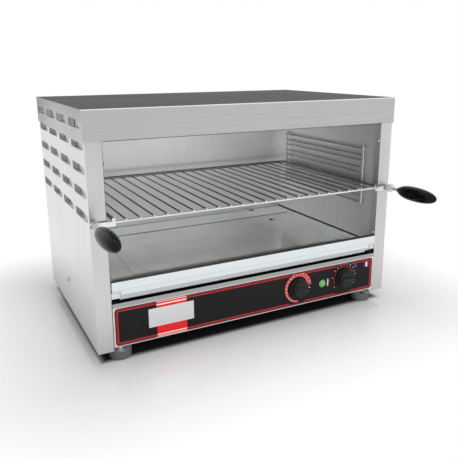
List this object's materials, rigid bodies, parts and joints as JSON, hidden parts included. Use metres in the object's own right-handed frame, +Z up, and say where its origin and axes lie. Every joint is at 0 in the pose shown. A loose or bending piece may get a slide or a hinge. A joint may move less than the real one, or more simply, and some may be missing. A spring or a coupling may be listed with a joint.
{
  "type": "cheese melter",
  "caption": "Countertop cheese melter: open-fronted stainless grill cabinet with ceiling quartz tubes, a sliding wire shelf with two grips, a crumb tray and a control panel with knobs.",
  "frame": {"origin": "on the support surface under the middle of the bounding box", "axes": "+X to the right seen from the front, -Y out of the open front, +Z up"},
  "size_m": [0.6124, 0.5246, 0.4125],
  "materials": {
    "cover_steel": "fine brushed",
    "panel_steel": "fine brushed",
    "plain_steel": "matt",
    "liner_steel": "vertical brushed grain",
    "ceiling_steel": "bright",
    "runner_steel": "matt",
    "tray_steel": "pale satin",
    "drip_mirror": "polished",
    "foil_print": "satin print",
    "plate_metal": "satin",
    "rack_wire": "bright",
    "shelf_wire": "bright",
    "stem_metal": "bright",
    "grip_plastic": "gloss",
    "quartz": "clear",
    "coil_wire": "oxidised wire",
    "ceramic": "matt",
    "case_plastic": "matt",
    "case_metal": "matt",
    "spindle_brass": "turned",
    "knob_plastic": "gloss",
    "bezel_metal": "bright",
    "lens_green": "gloss",
    "block_plastic": "matt",
    "gland_plastic": "matt",
    "loom_sleeve": "woven sleeve",
    "foot_plastic": "matt",
    "fixings": "bright"
  },
  "bodies": {
    "cabinet": {"top_cover": "cover_steel", "side_panel_left": "panel_steel", "side_panel_right": "panel_steel", "rear_panel": "plain_steel", "base_pan": "plain_steel", "control_panel": "panel_steel", "panel_foil": "foil_print", "nameplate": "plate_metal", "liner_left": "liner_steel", "liner_right": "liner_steel", "liner_rear": "liner_steel", "ceiling_reflector": "ceiling_steel", "deck_plate": "plain_steel", "tray_runner_left": "runner_steel", "tray_runner_right": "runner_steel", "rack_guide_left": "rack_wire", "rack_guide_right": "rack_wire", "quartz_tubes": "quartz", "heating_coils": "coil_wire", "tube_caps": "ceramic", "heat_regulator": "case_plastic", "timer_case": "case_metal", "lamp_body": "bezel_metal", "lamp_lens": "lens_green", "terminal_block": "block_plastic", "cable_gland": "gland_plastic", "gland_nut": "gland_plastic", "wiring_loom": "loom_sleeve", "foot_nuts": "fixings", "wall_screws": "fixings", "side_screws": "fixings", "rear_screws": "fixings"},
    "shelf": {"wire_shelf": "shelf_wire", "handle_stem_left": "stem_metal", "handle_stem_right": "stem_metal", "handle_nuts": "stem_metal", "grip_left": "grip_plastic", "grip_right": "grip_plastic"},
    "tray": {"crumb_tray": "tray_steel", "drip_plate": "drip_mirror"},
    "heat_control": {"heat_spindle": "spindle_brass", "heat_knob": "knob_plastic"},
    "timer_control": {"timer_spindle": "spindle_brass", "timer_knob": "knob_plastic"},
    "levelling_front_left": {"foot_front_left": "foot_plastic"},
    "levelling_front_right": {"foot_front_right": "foot_plastic"},
    "levelling_rear_left": {"foot_rear_left": "foot_plastic"},
    "levelling_rear_right": {"foot_rear_right": "foot_plastic"}
  },
  "joints": [
    {"name": "shelf_slide", "type": "slide", "parent": "cabinet", "child": "shelf", "axis": [0, -1, 0], "range_m": [0, 0.22]},
    {"name": "tray_slide", "type": "slide", "parent": "cabinet", "child": "tray", "axis": [0, -1, 0], "range_m": [0, 0.26]},
    {"name": "heat_turn", "type": "hinge", "parent": "cabinet", "child": "heat_control", "pos_m": [0.088, -0.1347, 0.06225], "axis": [0, 1, 0], "range_deg": [0, 270]},
    {"name": "timer_turn", "type": "hinge", "parent": "cabinet", "child": "timer_control", "pos_m": [0.1965, -0.1347, 0.06225], "axis": [0, 1, 0], "range_deg": [0, 300]},
    {"name": "foot_front_left_turn", "type": "hinge", "parent": "cabinet", "child": "levelling_front_left", "pos_m": [-0.2565, -0.1147, 0.02], "axis": [0, 0, 1], "continuous": true},
    {"name": "foot_front_right_turn", "type": "hinge", "parent": "cabinet", "child": "levelling_front_right", "pos_m": [0.2565, -0.1147, 0.02], "axis": [0, 0, 1], "continuous": true},
    {"name": "foot_rear_left_turn", "type": "hinge", "parent": "cabinet", "child": "levelling_rear_left", "pos_m": [-0.2565, 0.2318, 0.02], "axis": [0, 0, 1], "continuous": true},
    {"name": "foot_rear_right_turn", "type": "hinge", "parent": "cabinet", "child": "levelling_rear_right", "pos_m": [0.2565, 0.2318, 0.02], "axis": [0, 0, 1], "continuous": true}
  ]
}
